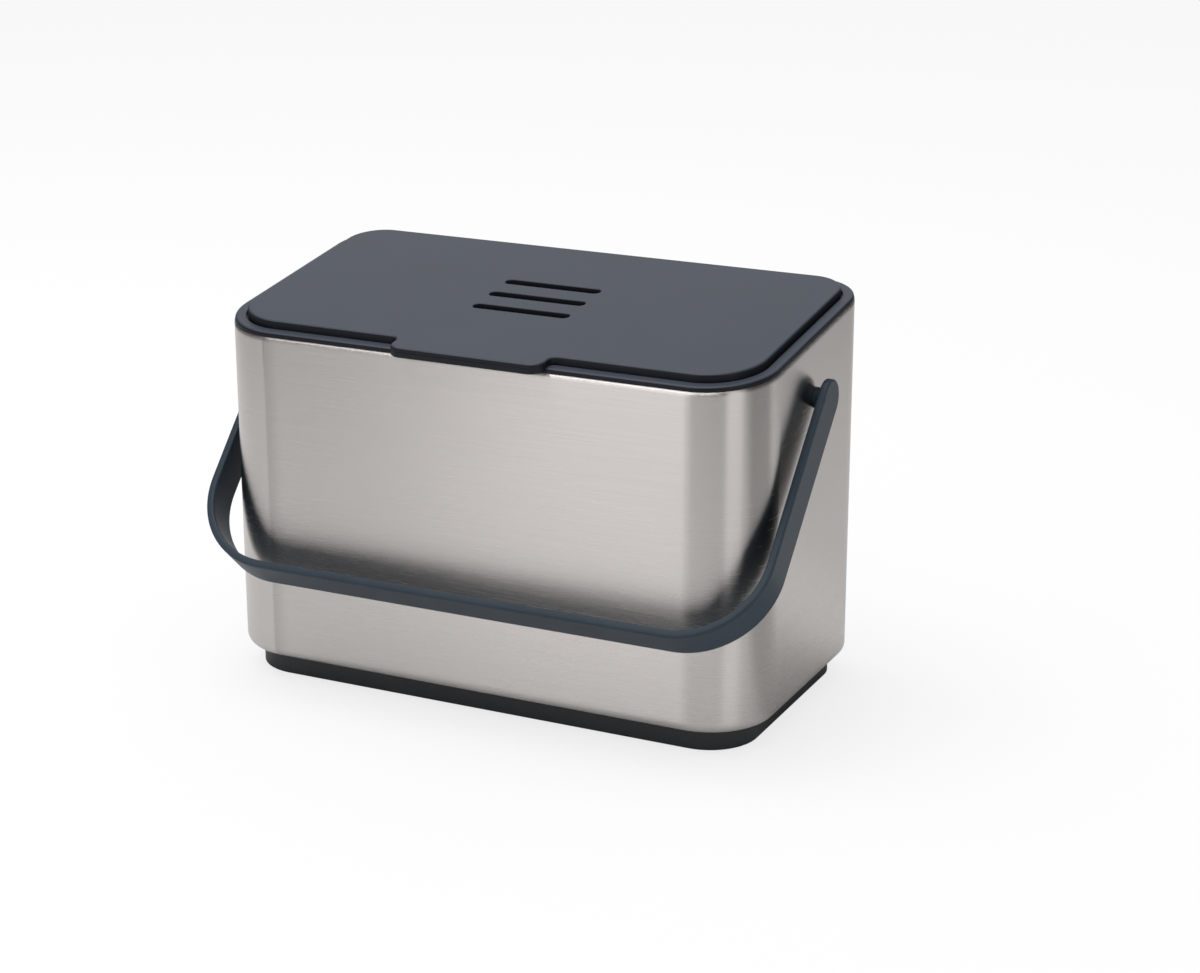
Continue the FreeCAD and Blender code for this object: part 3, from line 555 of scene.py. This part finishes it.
# Each card comes in between two angles and goes out between two more, in degrees (0 in front, 90 to the
# right), and adds so much to the tone of the standing and of the lying ring
studioCards = [{"rise": (-33, -21), "fall": (-16, -3), "standing": 1.15, "lying": 0.0},
               {"rise": (42, 52), "fall": (66, 76), "standing": 0.85, "lying": 0.0},
               {"rise": (74, 86), "fall": (108, 124), "standing": -0.06, "lying": -0.22},
               {"rise": (126, 140), "fall": (200, 210), "standing": 0.0, "lying": -0.10},
               {"rise": (164, 176), "fall": (200, 210), "standing": 0.58, "lying": 0.0},
               {"rise": (-300, -290), "fall": (-135, -120), "standing": 0.58, "lying": 0.0},
               {"rise": (-300, -290), "fall": (-160, -140), "standing": 0.0, "lying": -0.10}]


def paleFloor(look):
    make = Finish("paleFloor")
    lit = make.node("ShaderNodeBsdfDiffuse", {}, {"Color": (look["floorLit"],) * 3 + (1,)})
    shown = (look["floorShown"],) * 3 + (1,)
    plain = make.node("ShaderNodeEmission", {}, {"Color": shown, "Strength": 1.0})
    seen = make.node("ShaderNodeLightPath", {}, {}, "Is Camera Ray")
    gloss = make.node("ShaderNodeLightPath", {}, {}, "Is Glossy Ray")
    through = make.node("ShaderNodeLightPath", {}, {}, "Is Transmission Ray")
    share = (seen + gloss + through) * look["floorFill"]
    mixed = make.node("ShaderNodeMixShader", {}, {0: share, 1: lit, 2: plain})
    make.node("ShaderNodeOutputMaterial", {}, {"Surface": mixed})
    return make.material


def cardTone(make, tone, cards, ring):           # tone of a ring of cards by the angle round the object
    forward = 0 - make.along("Y")
    turned = {"operation": "ARCTAN2"}
    angle = make.node("ShaderNodeMath", turned, {0: make.along("X"), 1: forward}) * (180 / math.pi)
    for card in cards:
        if card[ring]:
            tone = tone + (make.ramp(angle, *card["rise"]) - make.ramp(angle, *card["fall"])) * card[ring]
    return tone


def standingCards(look, cards):
    make = Finish("standingCards")
    share = cardTone(make, look["standingTone"], cards, "standing") / look["cardPeak"]
    dim = make.node("ShaderNodeEmission", {}, {"Color": (0, 0, 0, 1), "Strength": 0.0})
    bright = make.node("ShaderNodeEmission", {}, {"Color": (1, 1, 1, 1), "Strength": look["cardPeak"]})
    glow = make.node("ShaderNodeMixShader", {}, {0: share, 1: dim, 2: bright})
    make.node("ShaderNodeOutputMaterial", {}, {"Surface": glow})
    return make.material


def lyingCards(look, cards):
    make = Finish("lyingCards")
    share = cardTone(make, look["lyingTone"], cards, "lying")
    black = make.node("ShaderNodeBsdfDiffuse", {}, {"Color": (0, 0, 0, 1)})
    white = make.node("ShaderNodeBsdfDiffuse", {}, {"Color": (1, 1, 1, 1)})
    lit = make.node("ShaderNodeMixShader", {}, {0: share, 1: black, 2: white})
    make.node("ShaderNodeOutputMaterial", {}, {"Surface": lit})
    return make.material


def stagePiece(name, points, faces, material):
    mesh = bpy.data.meshes.new(name)
    mesh.from_pydata(points, [], faces)
    mesh.materials.append(material)
    made = bpy.data.objects.new(name, mesh)
    bpy.context.scene.collection.objects.link(made)
    return made


half = stageLook["floorSize"] / 2
stagePiece("floor", [(-half, -half, 0), (half, -half, 0), (half, half, 0), (-half, half, 0)],
           [(0, 1, 2, 3)], paleFloor(stageLook))
sides = stageLook["cardSides"]
turns = np.linspace(0, 2 * np.pi, sides + 1)[:-1]
ring = np.stack([np.cos(turns), np.sin(turns)], -1) * stageLook["cardRadius"]
foot = np.c_[ring, np.full(sides, stageLook["cardFoot"])]
head = np.c_[ring, np.full(sides, stageLook["cardHeight"])]
around = np.arange(sides)
after = (around + 1) % sides
standing = stagePiece("standingCards", np.r_[foot, head].tolist(),
                      np.stack([after, around, around + sides, after + sides], -1).tolist(),
                      standingCards(stageLook, studioCards))
lying = stagePiece("lyingCards", foot.tolist(), [around.tolist()], lyingCards(stageLook, studioCards))
for card in (standing, lying):
    card.visible_camera = False
    card.visible_diffuse = False
    card.visible_transmission = False
    card.visible_shadow = False

world = bpy.data.worlds.new("studio")
bpy.context.scene.world = world
world.use_nodes = True
world.node_tree.nodes["Background"].inputs["Color"].default_value = (stageLook["worldTone"],) * 3 + (1,)
world.node_tree.nodes["Background"].inputs["Strength"].default_value = 1.0

lamp = bpy.data.lights.new("softLamp", "AREA")
lamp.shape = "SQUARE"
lamp.size = stageLook["lampSize"]
lamp.energy = stageLook["lampPower"]
soft = bpy.data.objects.new("softLamp", lamp)
soft.location = stageLook["lampPlace"]
soft.rotation_euler = (-mathutils.Vector(stageLook["lampPlace"])).to_track_quat("-Z", "Y").to_euler()
bpy.context.scene.collection.objects.link(soft)
print("stage set")


# Camera at the photograph's place: metres and degrees, lens and sensor in millimetres
cameraSet = {"place": (0.5997, -1.1794, 0.5298), "turn": 25.61, "down": 17.99, "lens": 80.06, "sensor": 36.0,
             "farthest": 100.0}
lens = bpy.data.cameras.new("photoCamera")
lens.lens = cameraSet["lens"]
lens.sensor_width = cameraSet["sensor"]
lens.sensor_fit = "HORIZONTAL"
lens.clip_end = cameraSet["farthest"]
camera = bpy.data.objects.new("photoCamera", lens)
camera.location = cameraSet["place"]
camera.rotation_euler = (math.radians(90 - cameraSet["down"]), 0.0, math.radians(cameraSet["turn"]))
bpy.context.scene.collection.objects.link(camera)
bpy.context.scene.camera = camera
bpy.context.scene.view_settings.view_transform = "Standard"
